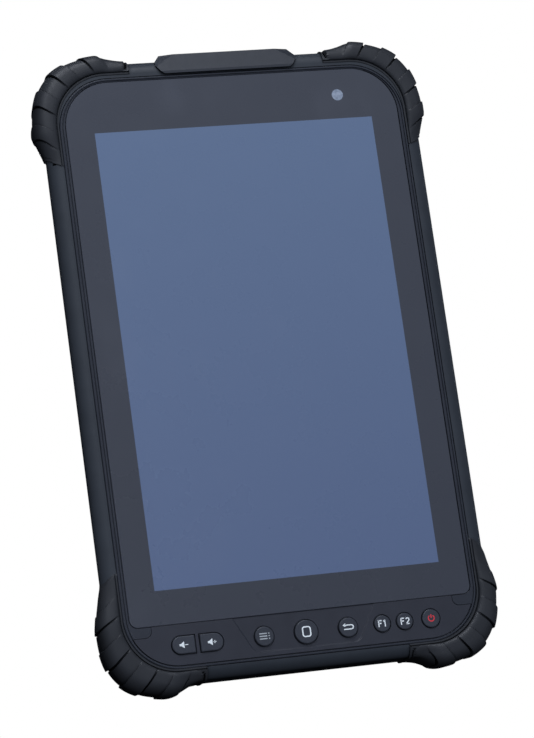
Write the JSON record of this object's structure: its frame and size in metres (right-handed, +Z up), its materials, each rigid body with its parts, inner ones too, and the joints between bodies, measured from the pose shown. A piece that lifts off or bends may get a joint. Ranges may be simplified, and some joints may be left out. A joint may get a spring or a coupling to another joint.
{
  "type": "rugged data collector",
  "caption": "Upright rugged handheld data collector: flat touch display, keypad strip below it, raised hinged port cover on top, rubber corner bumpers and a latched battery door.",
  "frame": {"origin": "on the floor under the middle of the object when it stands on its lower bumpers", "axes": "+X to the user's right, +Y from the display to the back, +Z up along the long side"},
  "size_m": [0.1526, 0.024, 0.2423],
  "materials": {
    "soft_black": "matt rubberised overmould",
    "bumper_rubber": "matt moulded rubber",
    "cover_rubber": "matt moulded rubber",
    "rear_plastic": "fine textured",
    "bezel_plastic": "satin",
    "panel_plastic": "satin",
    "key_plastic": "satin, printed legends",
    "latch_plastic": "satin",
    "cover_glass": "strengthened glass with a printed dark border",
    "foam": "adhesive foam",
    "display": "display module",
    "camera_black": "gloss",
    "magnesium": "cast, satin",
    "circuit_board": "solder mask",
    "steel": "plated",
    "black_steel": "black zinc",
    "silicone": "silicone",
    "battery_wrap": "wrapped cells",
    "connector_black": "moulded",
    "lens_plastic": "frosted clear",
    "ceramic_patch": "metallised ceramic",
    "insert_brass": "turned",
    "gold_contact": "gold plated"
  },
  "bodies": {
    "tablet": {"audio_port": "connector_black", "battery": "battery_wrap", "battery_connector": "connector_black", "battery_door": "rear_plastic", "battery_seal": "silicone", "board_screws": "steel", "bracket_inserts": "insert_brass", "bumper_bottom_left": "bumper_rubber", "bumper_bottom_right": "bumper_rubber", "bumper_screws": "black_steel", "bumper_top_left": "bumper_rubber", "bumper_top_right": "bumper_rubber", "camera_window": "cover_glass", "charge_port": "connector_black", "dock_block": "connector_black", "dock_contacts": "gold_contact", "flash_lens": "lens_plastic", "frame_screws": "steel", "front_bezel": "bezel_plastic", "front_camera": "camera_black", "front_housing": "soft_black", "glass_gasket": "foam", "gnss_antenna": "ceramic_patch", "housing_screws": "black_steel", "housing_seal": "silicone", "key_domes": "steel", "keypad_board": "circuit_board", "keypad_mat": "silicone", "keypad_panel": "panel_plastic", "lcd_panel": "display", "main_board": "circuit_board", "mid_frame": "magnesium", "port_block": "connector_black", "port_cover_pin": "steel", "rear_camera": "camera_black", "rear_housing": "rear_plastic", "shield_cans": "steel", "speaker": "connector_black", "strap_inserts": "insert_brass", "touch_glass": "cover_glass", "usb_port": "steel"},
    "key_volume_down": {"key_volume_down": "key_plastic"},
    "key_volume_up": {"key_volume_up": "key_plastic"},
    "key_menu": {"key_menu": "key_plastic"},
    "key_home": {"key_home": "key_plastic"},
    "key_back": {"key_back": "key_plastic"},
    "key_f1": {"key_f1": "key_plastic"},
    "key_f2": {"key_f2": "key_plastic"},
    "key_power": {"key_power": "key_plastic"},
    "port_cover": {"port_cover": "cover_rubber"},
    "battery_latch_left": {"battery_latch_left": "latch_plastic"},
    "battery_latch_right": {"battery_latch_right": "latch_plastic"}
  },
  "joints": [
    {"name": "key_volume_down_press", "type": "slide", "parent": "tablet", "child": "key_volume_down", "axis": [0, 1, 0], "range_m": [0, 0.00045]},
    {"name": "key_volume_up_press", "type": "slide", "parent": "tablet", "child": "key_volume_up", "axis": [0, 1, 0], "range_m": [0, 0.00045]},
    {"name": "key_menu_press", "type": "slide", "parent": "tablet", "child": "key_menu", "axis": [0, 1, 0], "range_m": [0, 0.00045]},
    {"name": "key_home_press", "type": "slide", "parent": "tablet", "child": "key_home", "axis": [0, 1, 0], "range_m": [0, 0.00045]},
    {"name": "key_back_press", "type": "slide", "parent": "tablet", "child": "key_back", "axis": [0, 1, 0], "range_m": [0, 0.00045]},
    {"name": "key_f1_press", "type": "slide", "parent": "tablet", "child": "key_f1", "axis": [0, 1, 0], "range_m": [0, 0.00045]},
    {"name": "key_f2_press", "type": "slide", "parent": "tablet", "child": "key_f2", "axis": [0, 1, 0], "range_m": [0, 0.00045]},
    {"name": "key_power_press", "type": "slide", "parent": "tablet", "child": "key_power", "axis": [0, 1, 0], "range_m": [0, 0.00045]},
    {"name": "port_cover_hinge", "type": "hinge", "parent": "tablet", "child": "port_cover", "pos_m": [0, 0.008, 0.2375], "axis": [-1, 0, 0], "range_deg": [0, 120]},
    {"name": "battery_latch_left_slide", "type": "slide", "parent": "tablet", "child": "battery_latch_left", "axis": [-1, 0, 0], "range_m": [0, 0.006]},
    {"name": "battery_latch_right_slide", "type": "slide", "parent": "tablet", "child": "battery_latch_right", "axis": [1, 0, 0], "range_m": [0, 0.006]}
  ]
}
